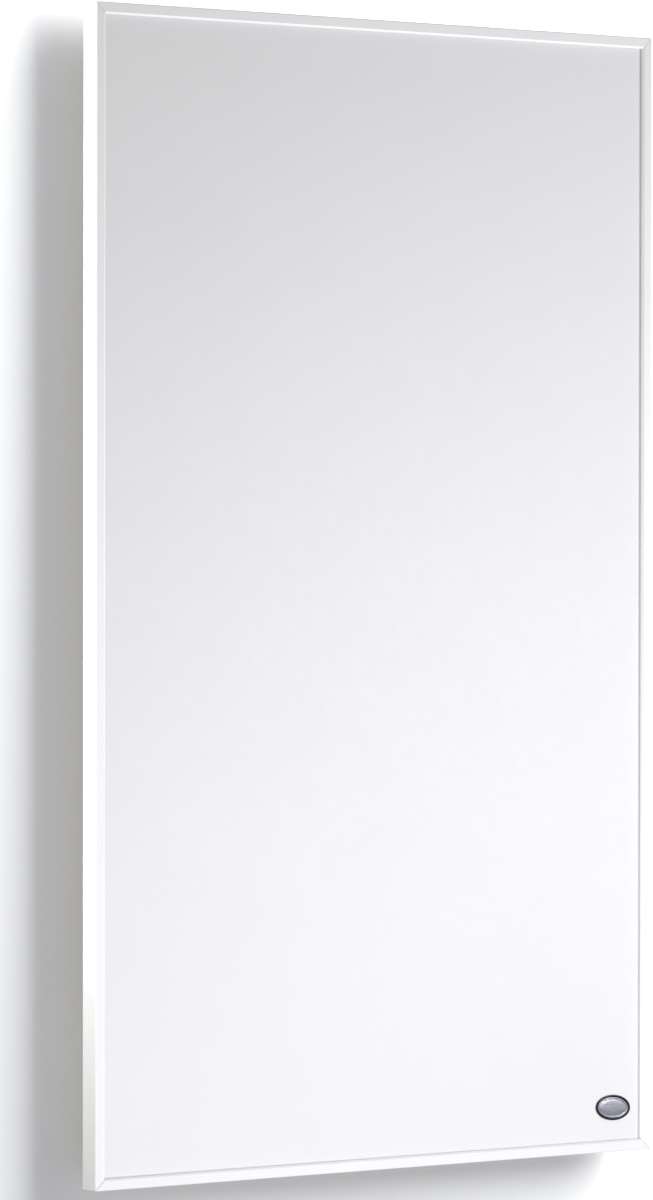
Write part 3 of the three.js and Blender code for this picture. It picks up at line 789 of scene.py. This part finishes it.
def hanger(tag, sx, sz):
    cx, cz = sx * FIX_X, sz * FIX_Z
    half = [(-26.0, -26.5, 0.15), (-11.8, -26.5, 1.7), (-11.8, -19.8, 0.5)]
    back = [(-13.0, -18.6, 1.7), (-13.0, -25.3, 0.5), (-26.0, -25.3, 0.15)]
    pts = half + [(-x, y, r) for x, y, r in reversed(half)] + [(-x, y, r) for x, y, r in reversed(back)] + back
    outline = rounded([(cx + x, y, r) for x, y, r in pts], 6)
    bm = bmesh.new()
    prism(bm, outline, cz - 30, cz + 22, 0.14)
    obj = new_object(f"hanger_plate_{tag}", bm, M["zinc"])
    # keyhole: narrow slot over a round entry
    slot_r, big, top, low = 3.0, 5.5, cz - 0.2, cz - 12.0
    a = math.asin(slot_r / big)
    key = [(cx + slot_r * math.cos(t), top + slot_r * math.sin(t)) for t in (math.pi * k / 16 for k in range(17))]
    a0, a1 = math.pi / 2 + a, 2.5 * math.pi - a
    key += [(cx + big * math.cos(t), low + big * math.sin(t)) for t in (a0 + (a1 - a0) * k / 40 for k in range(41))]
    bm = bmesh.new()
    slab(bm, [key], -21.5, -17.0, 0.001, 1)
    cutters = [new_object("cutter_key", bm, M["zinc"])]
    cutters += [cylinder_y(cx + d * 19, cz - 4, 2.0, -28.0, -24.0, 24) for d in (-1, 1)]
    # flange corners cut round
    for ex in (-1, 1):
        for ez in (-1, 1):
            r = 4.0
            x0, z0 = cx + ex * 26, (cz - 30 if ez < 0 else cz + 22)
            arc = [(x0 - ex * (r - r * math.sin(t)), z0 - ez * (r - r * math.cos(t))) for t in (math.pi / 2 * k / 8 for k in range(9))]
            o = arc + [(x0 + ex * 1.0, z0 - ez * 0.0 + ez * 1.0)]
            o = ccw([(x0 + ex * 1.0, z0 - ez * r)] + [(x0 - ex * (r - r * math.cos(t)), z0 - ez * (r - r * math.sin(t))) for t in (math.pi / 2 * k / 8 for k in range(9))] + [(x0 - ex * r, z0 + ez * 1.0), (x0 + ex * 1.0, z0 + ez * 1.0)])
            bm = bmesh.new()
            slab(bm, [o], -28.0, -24.0, 0.001, 1)
            cutters.append(new_object("cutter_corner", bm, M["zinc"]))
    carve(obj, *cutters)
    replaced(obj, "panel", "zinc_sheet", f"hanger_{tag}")


for tag, sx, sz in CORNERS:
    hanger(tag, sx, sz)


# ------------------------------------------------------------------ rivets
def rivet(tag, x, z):
    h, b = -25.0, -27.7
    profile = [
        (0.0, b - 3.0), (0.55, b - 2.98), (0.9, b - 2.5), (1.5, b - 2.62), (2.2, b - 2.2), (2.6, b - 1.5), (2.35, b - 0.6), (1.6, b - 0.05),
        (1.6, h), (3.0, h), (3.2, h + 0.12), (3.17, h + 0.32), (2.9, h + 0.62), (2.3, h + 0.93), (1.6, h + 1.12), (1.1, h + 1.18),
        (0.96, h + 1.12), (0.92, h + 0.35), (0.78, h + 0.32), (0.76, h + 0.62), (0.6, h + 0.74), (0.0, h + 0.76),
    ]
    bm = bmesh.new()
    lathe(bm, profile, about_y(x, z), 40)
    replaced(new_object(f"rivet_{tag}", bm, M["alu"], 40.0), "panel", "bare_aluminium", f"hanger_rivet_{tag}")


for tag, x, z in RIVETS:
    rivet(tag, x, z)


# ------------------------------------------------------------------ screws
def cross_recess(x, z, y_top, depth, reach, width, turn=0.4):
    """Tapered cross driven into a screw head whose top is at y_top, looking along -Y."""
    made = []
    for a in (turn, turn + math.pi / 2):
        bm = bmesh.new()
        c, s = math.cos(a), math.sin(a)
        levels = []
        for y, r, w in ((y_top + 0.4, reach * 1.05, width), (y_top - depth * 0.55, reach * 0.72, width * 0.9), (y_top - depth, reach * 0.30, width * 0.7)):
            o = [(-r, -w / 2), (r, -w / 2), (r, w / 2), (-r, w / 2)]
            levels.append(ring(bm, [(x + p * c - q * s, z + p * s + q * c) for p, q in o], lambda u, v, y=y: place_y(u, v, y)))
        for p, q in zip(levels, levels[1:]):
            bridge(bm, p, q)
        bm.faces.new(levels[0])
        bm.faces.new(levels[-1])
        made.append(new_object("cutter_cross", bm, M["steel"]))
    return made


def screw(name, node, body, x, z, y_seat, y_tip, shank, head, rise, thread=True, flip=False, recess=True, turn=0.4):
    """Pan-head screw along Y: its head stands off y_seat, its tip is at y_tip."""
    sgn = -1.0 if flip else 1.0
    s = y_seat
    profile = [(0.0, y_tip), (shank * 0.45, y_tip + sgn * 0.9), (shank, y_tip + sgn * 1.9)]
    if thread:
        pitch = max(0.9, shank * 0.62)
        count = int((abs(s - y_tip) - 4.5) / pitch)
        y = y_tip + sgn * 2.2
        for _ in range(max(0, count)):
            profile += [(shank, y), (shank * 0.80, y + sgn * pitch * 0.35), (shank * 0.80, y + sgn * pitch * 0.65), (shank, y + sgn * pitch)]
            y += sgn * pitch * 1.0001
    profile += [(shank, s), (head - 0.12, s), (head, s + sgn * 0.12), (head, s + sgn * rise * 0.22)]
    for k in range(1, 6):
        t = math.pi / 2 * k / 6
        profile.append((head * (0.30 + 0.70 * math.cos(t)), s + sgn * rise * (0.22 + 0.78 * math.sin(t))))
    profile.append((0.0, s + sgn * rise))
    bm = bmesh.new()
    lathe(bm, profile, about_y(x, z), 40)
    obj = new_object(name, bm, M["steel"], 40.0)
    if recess and not flip:
        carve(obj, *cross_recess(x, z, s + rise, rise * 0.78, head * 0.60, head * 0.22, turn), degrees=40.0)
    elif recess:
        cut = cross_recess(x, z, -(s - rise), rise * 0.78, head * 0.60, head * 0.22, turn)
        for c in cut:
            for v in c.data.vertices:
                v.co.y = -v.co.y
            shade(c.data)
        carve(obj, *cut, degrees=40.0)
    return replaced(obj, body, "fastener_steel", node)


for i, (tag, sx, sz) in enumerate(CORNERS):
    screw(f"frame_screw_{tag}", f"corner_screw_{tag}", "panel", sx * 296.0, sz * 474.0, -24.7, -38.2, 1.25, 2.8, 1.9, turn=0.3 + 0.7 * i)
for i, (tag, x) in enumerate((("left", -48.0), ("right", 48.0))):
    screw(f"cover_screw_{tag}", f"lid_screw_{tag}", "panel", x, JZ, JB_BACK + 1.5, JB_BACK - 10.0, 1.25, 3.0, 1.35, turn=0.2 + 0.9 * i)
for i, (tag, x, z) in enumerate(BOX_SCREWS):
    screw(f"base_screw_{tag}", f"box_screw_{tag}", "panel", x, z, JB_FRONT + 2.3, JB_FRONT - 7.7, 1.7, 3.4, 2.1, turn=0.5 + 0.8 * i)
screw("bonding_screw", "earth_screw", "panel", EARTH_X, EARTH_Z, JB_FRONT + 3.4, JB_FRONT - 6.1, 2.0, 3.9, 2.5, turn=0.9)
for i, (tag, sx, sz) in enumerate(CORNERS):
    screw(f"hook_screw_{tag}", f"wall_screw_{tag}", "wall_fixings", sx * FIX_X, sz * FIX_Z, -20.1, -0.3, 2.5, 4.7, 2.2, thread=False, flip=True, turn=0.6 + 0.5 * i)


# ------------------------------------------------------------------ stand-offs
def standoff(tag, sx, sz):
    x, z = sx * FIX_X, sz * FIX_Z
    n = 120
    rings = []
    bm = bmesh.new()
    profile = [(2.8, -18.0, 0), (3.1, -18.3, 0), (6.9, -18.3, 0), (7.35, -18.15, 0), (7.6, -17.8, 0), (7.7, -17.2, 1), (7.75, -12.0, 1),
               (7.8, -6.0, 1), (7.85, -4.6, 1), (8.0, -3.6, 0), (8.4, -3.05, 0), (9.2, -2.55, 0), (10.4, -2.2, 0), (11.3, -2.0, 0), (11.8, -1.75, 0),
               (12.0, -1.3, 0), (12.0, -0.4, 0), (11.7, -0.05, 0), (11.4, 0.0, 0), (3.6, 0.0, 0), (2.8, -0.8, 0)]
    at = about_y(x, z)
    for r, y, flute in profile:
        row = []
        for k in range(n):
            t = 2 * math.pi * k / n
            d = 0.55 * flute * (0.5 - 0.5 * math.cos(12 * t)) ** 2
            row.append(bm.verts.new(at((r - d) * math.cos(t), (r - d) * math.sin(t), y)))
        rings.append(row)
    for a, b in zip(rings, rings[1:] + rings[:1]):
        for k in range(n):
            j = (k + 1) % n
            bm.faces.new((a[k], a[j], b[j], b[k]))
    replaced(new_object(f"spacer_{tag}", bm, M["box"], 40.0), "wall_fixings", "box_white", f"standoff_{tag}")


for tag, sx, sz in CORNERS:
    standoff(tag, sx, sz)


# ------------------------------------------------------------------ connection box
GLAND_Y = -16.7


def cylinder_z(cx, cy, r, z0, z1, n=40):
    bm = bmesh.new()
    slab(bm, [circle(cx, cy, r, n)], z0, z1, 0.001, 1, at=lambda x, y, z: Vector((x * MM, y * MM, z * MM)))
    return new_object("cutter", bm, M["box"])


def shell_rings(bm, steps, x, z0, z1, r):
    """Loops of a rounded rectangle; steps of (inset, y). Returns them with their shapes."""
    made = []
    for d, y in steps:
        shape = box_outline(-x + d, z0 + d, x - d, z1 - d, max(0.4, r - d), 8)
        made.append((shape, ring(bm, shape, lambda u, v, y=y: place_y(u, v, y))))
    for (_, a), (_, b) in zip(made, made[1:]):
        bridge(bm, a, b)
    return made


def junction_box():
    x, z0, z1 = 56.0, JZ - 33.0, JZ + 33.0
    rim = [(1.0 - 1.0 * math.sin(a), JB_FRONT + 1.0 - 1.0 * math.cos(a)) for a in (math.pi / 2 * k / 4 for k in range(5))]
    steps = rim + [(0.0, JB_BACK - 1.6), (0.35, JB_BACK - 1.45), (0.35, JB_BACK - 1.15), (0.0, JB_BACK - 1.0), (0.0, JB_BACK - 0.25), (0.25, JB_BACK), (1.8, JB_BACK), (2.0, JB_BACK - 0.2),
                   (2.0, JB_FRONT + 2.9), (2.2, JB_FRONT + 2.3), (2.9, JB_FRONT + 2.0)]
    bm = bmesh.new()
    made = shell_rings(bm, steps, x, z0, z1, 6.0)
    bm.faces.new(made[0][1])
    bm.faces.new(made[-1][1])
    obj = new_object("box_shell", bm, M["box"])
    extra = [cylinder_y(bx, JZ, 4.0, JB_FRONT + 1.0, JB_BACK, 32) for bx in (-48, 48)]
    extra.append(cylinder_y(0, ENTRY_Z, 6.5, JB_FRONT + 0.5, JB_FRONT - 1.9, 40))
    carve(obj, *extra, how="UNION")
    cuts = [cylinder_y(0, ENTRY_Z, 5.2, JB_FRONT + 4, JB_FRONT - 4, 40), cylinder_y(EARTH_X, EARTH_Z, 2.4, JB_FRONT - 1, JB_FRONT + 4, 28)]
    cuts += [cylinder_y(bx, JZ, 1.6, JB_BACK - 13, JB_BACK + 2, 24) for bx in (-48, 48)]
    cuts += [cylinder_y(bx, bz, 2.1, JB_FRONT - 1, JB_FRONT + 4, 24) for _, bx, bz in BOX_SCREWS]
    cuts.append(cylinder_z(0, GLAND_Y, 6.4, z0 - 4, z0 + 4, 48))
    carve(obj, *cuts)
    replaced(obj, "panel", "box_white", "junction_box")


def box_lid():
    x, z0, z1 = 56.0, JZ - 33.0, JZ + 33.0
    y0, y1 = JB_BACK + 0.3, JB_BACK + 2.3
    over = [(0.9 - 0.9 * math.cos(a), y1 - 0.9 + 0.9 * math.sin(a)) for a in (math.pi / 2 * k / 5 for k in range(6))]
    steps = [(3.9, y0 - 1.3), (3.6, y0 - 1.5), (2.6, y0 - 1.5), (2.3, y0 - 1.2), (2.3, y0), (0.2, y0), (0.0, y0 + 0.2)] + over
    steps += [(11.0, y1), (11.25, y1 - 0.08), (11.4, y1 - 0.35), (11.65, y1 - 0.42)]
    bm = bmesh.new()
    made = shell_rings(bm, steps, x, z0, z1, 6.0)
    bm.faces.new(made[0][1])
    bm.faces.new(made[-1][1])
    obj = new_object("box_cover", bm, M["box"])
    hollow = bmesh.new()
    slab(hollow, [box_outline(-x + 3.9, z0 + 3.9, x - 3.9, z1 - 3.9, 2.4, 6)], y0 - 3.0, y0, 0.001, 1)
    cuts = [new_object("cutter", hollow, M["box"])]
    cuts += [cylinder_y(bx, JZ, 4.3, y0 - 3.0, y0 - 0.001, 32) for bx in (-48, 48)]
    cuts += [cylinder_y(bx, JZ, 1.7, JB_BACK - 3, JB_BACK + 4, 24) for bx in (-48, 48)]
    cuts += [cylinder_y(bx, JZ, 3.4, JB_BACK + 1.2, JB_BACK + 4, 40) for bx in (-48, 48)]
    carve(obj, *cuts)
    replaced(obj, "panel", "box_white", "junction_box_lid")


junction_box()
box_lid()


# ------------------------------------------------------------------ cord gland
def turned(name, rows, cx, cy, n, material, slot, node, degrees=40.0):
    """Body about a line along Z; rows of (radius, z, ripple depth, ripples) close on themselves."""
    bm = bmesh.new()
    at = about_z(cx, cy)
    rings = []
    for r, z, depth, count in rows:
        row = []
        for k in range(n):
            t = 2 * math.pi * k / n
            d = depth * (0.5 - 0.5 * math.cos(count * t)) ** 2 if depth else 0.0
            row.append(bm.verts.new(at((r - d) * math.cos(t), (r - d) * math.sin(t), z)))
        rings.append(row)
    for a, b in zip(rings, rings[1:] + rings[:1]):
        for k in range(n):
            j = (k + 1) % n
            bm.faces.new((a[k], a[j], b[j], b[k]))
    obj = new_object(name, bm, material, degrees)
    return replaced(obj, "panel", slot, node) if node else obj


def hexagon(flat, r=0.7):
    e = flat / math.cos(math.pi / 6)
    return rounded([(e * math.cos(math.pi / 3 * k), GLAND_Y + e * math.sin(math.pi / 3 * k), r) for k in range(6)], 5)


def gland():
    z0 = JZ - 33.0
    zi = z0 + 2.0
    to_z = lambda x, y, z: Vector((x * MM, y * MM, z * MM))
    # body: hexagon under the box, threaded sleeve through its wall
    rows = [(4.0, z0 - 12.5, 0, 0), (5.6, z0 - 12.5, 0, 0)]
    z = z0 - 12.0
    while z < z0 - 5.6:
        rows += [(6.0, z, 0, 0), (5.6, z + 0.5, 0, 0)]
        z += 1.0
    rows += [(5.6, z0 - 5.2, 0, 0), (5.9, z0 - 4.9, 0, 0), (6.0, z0, 0, 0)]
    z = z0 + 0.2
    while z < zi + 5.4:
        rows += [(6.0, z, 0, 0), (5.6, z + 0.5, 0, 0)]
        z += 1.0
    rows += [(5.5, zi + 6.0, 0, 0), (4.0, zi + 6.0, 0, 0)]
    obj = turned("gland_barrel", rows, 0, GLAND_Y, 64, M["grey"], "gland_grey", None)
    bm = bmesh.new()
    slab(bm, [hexagon(7.2)], z0 - 5.3, z0 - 0.3, 0.5, 3, at=to_z)
    hexa = new_object("hexa", bm, M["grey"])
    carve(hexa, cylinder_z(0, GLAND_Y, 5.3, z0 - 8, z0 + 3, 64))
    carve(obj, hexa, how="UNION", degrees=40.0)
    replaced(obj, "panel", "gland_grey", "gland_body")
    # locknut inside the box
    bm = bmesh.new()
    slab(bm, [hexagon(7.2)], zi + 0.3, zi + 3.9, 0.4, 3, at=to_z)
    nut = new_object("gland_nut", bm, M["grey"])
    carve(nut, cylinder_z(0, GLAND_Y, 6.2, zi - 3, zi + 8, 48), degrees=40.0)
    replaced(nut, "panel", "gland_grey", "gland_locknut")
    # cap with grip flutes and a rounded nose
    zc, ze = z0 - 5.6, z0 - 20.0
    rows = [(6.4, zc, 0, 0), (7.1, zc, 0, 0), (7.4, zc - 0.3, 0, 0), (7.4, zc - 1.2, 0, 0), (7.4, zc - 1.7, 0.55, 18),
            (7.4, zc - 5.0, 0.55, 18), (7.4, ze + 4.6, 0.55, 18), (7.35, ze + 4.1, 0, 0)]
    for k in range(1, 8):
        t = math.pi / 2 * k / 7
        rows.append((4.9 + 2.45 * math.cos(t), ze + 3.9 * (1 - math.sin(t)) , 0, 0))
    rows += [(4.3, ze, 0, 0), (3.9, ze + 0.25, 0, 0), (3.8, ze + 0.8, 0, 0), (3.8, ze + 1.6, 0, 0), (6.4, ze + 1.6, 0, 0)]
    turned("gland_nose", rows, 0, GLAND_Y, 144, M["grey"], "gland_grey", "gland_cap")
    # clamping seal
    zs, zt = ze + 1.9, z0 - 12.8
    rows = [(3.75, zs, 0, 0), (5.6, zs, 0, 0), (5.9, zs + 0.3, 0, 0), (5.9, zt - 0.3, 0, 0), (5.6, zt, 0, 0), (3.8, zt, 0, 0),
            (3.6, zt - 0.2, 0, 0), (3.75, (zs + zt) / 2, 0, 0), (3.6, zs + 0.2, 0, 0)]
    turned("gland_ring", rows, 0, GLAND_Y, 64, M["rubber"], "gland_rubber", "gland_seal")


gland()

# ------------------------------------------------------------------ carried-over nodes
KEPT = {
    "edge_seal": "seal", "heating_laminate": "laminate", "busbar_left": "copper", "busbar_right": "copper",
    "reflective_foil": "foil", "insulation_board": "wool", "rear_cover": "zinc", "junction_box": "box",
    "junction_box_lid": "box", "terminal_block": "grey", "thermal_cutout": "ceramic", "lead_live": "brown",
    "lead_switched": "brown", "lead_neutral": "blue", "lead_earth": "earth", "gland_body": "grey",
    "gland_locknut": "grey", "gland_cap": "grey", "gland_seal": "rubber", "badge_plate": "badge_silver",
    "front_plate": "plate", "frame_top": "frame_x", "frame_bottom": "frame_x", "frame_left": "frame_z", "frame_right": "frame_z",
}


def finish_of(node):
    if node in KEPT:
        return M[KEPT[node]]
    if node.startswith("corner_key") or "rivet" in node:
        return M["alu"]
    if "screw" in node:
        return M["steel"]
    if node.startswith("hanger_"):
        return M["zinc"]
    return M["box"]


for name, obj in frame["nodes"].items():
    obj.data.materials.clear()
    obj.data.materials.append(finish_of(name))

# ------------------------------------------------------------------ stage
def plane(name, corners, material):
    mesh = bpy.data.meshes.new(name)
    mesh.from_pydata([Vector(c) for c in corners], [], [tuple(range(len(corners)))])
    mesh.materials.append(material)
    obj = bpy.data.objects.new(name, mesh)
    scene.collection.objects.link(obj)
    obj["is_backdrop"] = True
    return obj


def wall_paint(name, color, one_sided):
    f = Finish(name, color, 0.9)
    f.b.inputs["Specular IOR Level"].default_value = 0.1
    f.vary(f.noise(400.0, 2.0), 0.002)
    if one_sided:
        out = next(n for n in f.t.nodes if n.type == "OUTPUT_MATERIAL")
        geo = f.node("ShaderNodeNewGeometry")
        clear = f.node("ShaderNodeBsdfTransparent")
        mix = f.node("ShaderNodeMixShader")
        f.link(geo.outputs["Backfacing"], mix.inputs["Fac"])
        f.link(f.b.outputs["BSDF"], mix.inputs[1])
        f.link(clear.outputs["BSDF"], mix.inputs[2])
        f.link(mix.outputs["Shader"], out.inputs["Surface"])
    return f.m


FLOOR_Z = -0.80
wall = plane("wall", [(-3.5, 0, FLOOR_Z), (3.5, 0, FLOOR_Z), (3.5, 0, 3.2), (-3.5, 0, 3.2)], wall_paint("wall_paint", (0.90, 0.908, 0.963), True))
floor = plane("floor", [(-14, -14, FLOOR_Z), (14, -14, FLOOR_Z), (14, 14, FLOOR_Z), (-14, 14, FLOOR_Z)], wall_paint("floor_paint", (0.86, 0.86, 0.86), False))
wall.visible_shadow = wall.visible_diffuse = wall.visible_glossy = False
for n in ("rail_left", "back_sheet"):
    bpy.data.objects[n].visible_diffuse = False      # keeps the lit side and back from brightening the shadow on the wall
floor.visible_shadow = floor.visible_diffuse = floor.visible_glossy = False

# ------------------------------------------------------------------ light
world = bpy.data.worlds.new("studio")
scene.world = world
world.use_nodes = True
WORLD = 0.34
world.node_tree.nodes["Background"].inputs["Color"].default_value = (1.0, 1.0, 0.965, 1.0)
world.node_tree.nodes["Background"].inputs["Strength"].default_value = WORLD


def pale_backdrop():
    """The sky lights the object at one level and shows as a pale backdrop behind it."""
    t = world.node_tree
    lit = t.nodes["Background"]
    seen = t.nodes.new("ShaderNodeBackground")
    seen.inputs["Color"].default_value = (0.80, 0.805, 0.81, 1.0)
    path = t.nodes.new("ShaderNodeLightPath")
    mix = t.nodes.new("ShaderNodeMixShader")
    t.links.new(path.outputs["Is Camera Ray"], mix.inputs["Fac"])
    t.links.new(lit.outputs["Background"], mix.inputs[1])
    t.links.new(seen.outputs["Background"], mix.inputs[2])
    t.links.new(mix.outputs["Shader"], t.nodes["World Output"].inputs["Surface"])


pale_backdrop()


def group(name, objects):
    c = bpy.data.collections.new(name)
    for o in objects:
        c.objects.link(o)
    return c


def softbox(name, at, aim, size, power, color=(1, 1, 1), lit=None, shades=None):
    data = bpy.data.lights.new(name, "AREA")
    data.shape = "RECTANGLE"
    data.size, data.size_y = size
    data.energy = power
    data.color = color
    obj = bpy.data.objects.new(name, data)
    scene.collection.objects.link(obj)
    obj.location = at
    obj.rotation_mode = "QUATERNION"
    obj.rotation_quaternion = (Vector(aim) - Vector(at)).to_track_quat("-Z", "Y")
    obj.visible_camera = False
    if lit is not None:
        obj.light_linking.receiver_collection = lit
    if shades is not None:
        obj.light_linking.blocker_collection = shades
    return obj


HEATER = group("heater_pieces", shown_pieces())
ROOM = group("room", [wall])
FLOOR = group("floor_only", [floor])
NOTHING = group("far_floor", [floor])
RIGHT_RAIL = group("right_rail", [bpy.data.objects[n] for n in ("rail_right", "seal_bead")])
TOP_RAIL = group("top_rail", [bpy.data.objects["rail_top"]])
LEFT_RAIL = group("left_rail", [bpy.data.objects["rail_left"]])

LIGHTS = {
    "key": softbox("key_right", (0.9, -1.2, -0.1), (0, 0, 0), (0.5, 0.5), 9.7, (0.995, 0.985, 1.045), HEATER, HEATER),
    "key2": softbox("key_low", (-0.3, -1.2, -0.7), (0, 0, 0), (0.5, 0.5), 8.0, (0.995, 0.985, 1.045), HEATER, HEATER),
    "strip": softbox("side_strip", (-0.68, -0.022, 0.27), (-0.3, -0.022, 0.27), (0.03, 1.1), 5.2, (1, 1, 1), HEATER, HEATER),
    "edge": softbox("edge_light", (-0.5, -0.2, -0.5), (0.29, -0.045, -0.4), (0.2, 0.2), 2.2, (1, 1, 1), RIGHT_RAIL, HEATER),
    "low_glint": softbox("low_glint", (0.0, -0.35, -1.4), (0, -0.045, 0.49), (0.6, 0.1), 11.0, (1, 1, 1), TOP_RAIL, HEATER),
    "side_glint": softbox("side_glint", (1.6, -0.2, 0.1), (-0.3, -0.045, 0.1), (0.1, 0.6), 11.0, (1, 1, 1), LEFT_RAIL, HEATER),
    "shadow": softbox("shadow_box", (1.319, -1.110, 1.013), (0, 0, 0), (1.60, 2.46), 101.0, (1, 1, 0.942), ROOM, HEATER),
    "fill": softbox("wall_fill", (-1.5, -5.0, 1.0), (-0.2, 0, 0), (3.0, 3.0), 57.0, (1, 1, 1), ROOM, NOTHING),
    "rear": softbox("rear_fill", (0.3, 2.2, 0.5), (0, 0, 0), (1.4, 1.6), 16.0, (1, 1, 1), HEATER, HEATER),
}

sun = bpy.data.lights.new("floor_light", "SUN")
sun.energy, sun.angle = 1.9, math.radians(30)
sun_at = bpy.data.objects.new("floor_light", sun)
scene.collection.objects.link(sun_at)
sun_at.light_linking.receiver_collection = FLOOR
sun_at.light_linking.blocker_collection = NOTHING

scene.view_settings.view_transform = "Standard"
scene.view_settings.look = "None"
